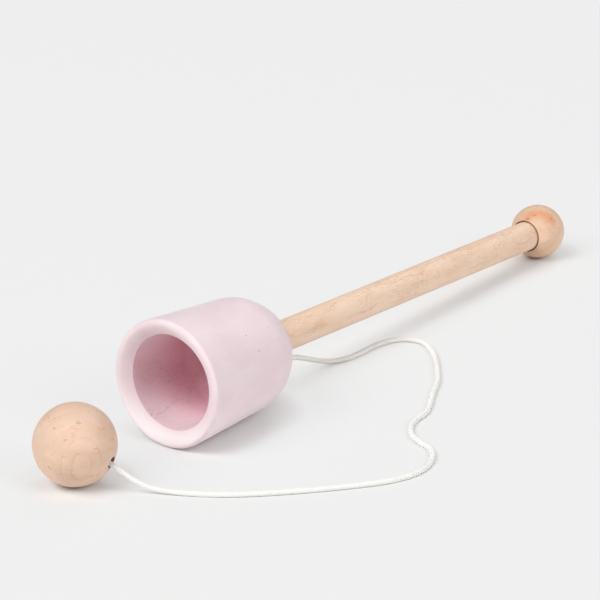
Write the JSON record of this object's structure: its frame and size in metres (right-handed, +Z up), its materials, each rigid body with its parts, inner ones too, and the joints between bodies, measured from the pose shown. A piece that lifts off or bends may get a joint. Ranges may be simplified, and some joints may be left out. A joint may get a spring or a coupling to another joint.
{
  "type": "cup and ball toy",
  "caption": "Cup and ball toy: pale pink turned wooden cup on a dowel handle with an end knob, and a drilled wooden ball on a cord knotted in the cup's base, to be caught in the cup.",
  "frame": {"origin": "on the table, halfway between the ball's far side and the end knob's far side, below the handle's axis", "axes": "+X from the cup's mouth towards the end knob, +Z up from the table, the handle's axis in the plane y = 0"},
  "size_m": [0.3054, 0.1105, 0.0481],
  "materials": {
    "cup_paint": "wood with thin matte pale pink paint",
    "beech": "bare sanded beech",
    "cord": "white twisted cotton"
  },
  "bodies": {
    "handle": {"cup": "cup_paint", "handle_rod": "beech", "end_knob": "beech", "cup_knot": "cord", "cord": "cord"},
    "cord_end": {"cord_ball_end": "cord", "ball_knot": "cord"},
    "ball": {"ball": "beech"}
  },
  "joints": [
    {"name": "ball_swing", "type": "hinge", "parent": "handle", "child": "cord_end", "pos_m": [-0.09797, -0.0596, 0.002], "axis": [0.6709, 0.7415, 0], "range_deg": [0, 90]},
    {"name": "ball_spin", "type": "hinge", "parent": "cord_end", "child": "ball", "pos_m": [-0.13767, 0.0049, 0.015], "axis": [0.2475, -0.9237, -0.2924], "continuous": true}
  ]
}
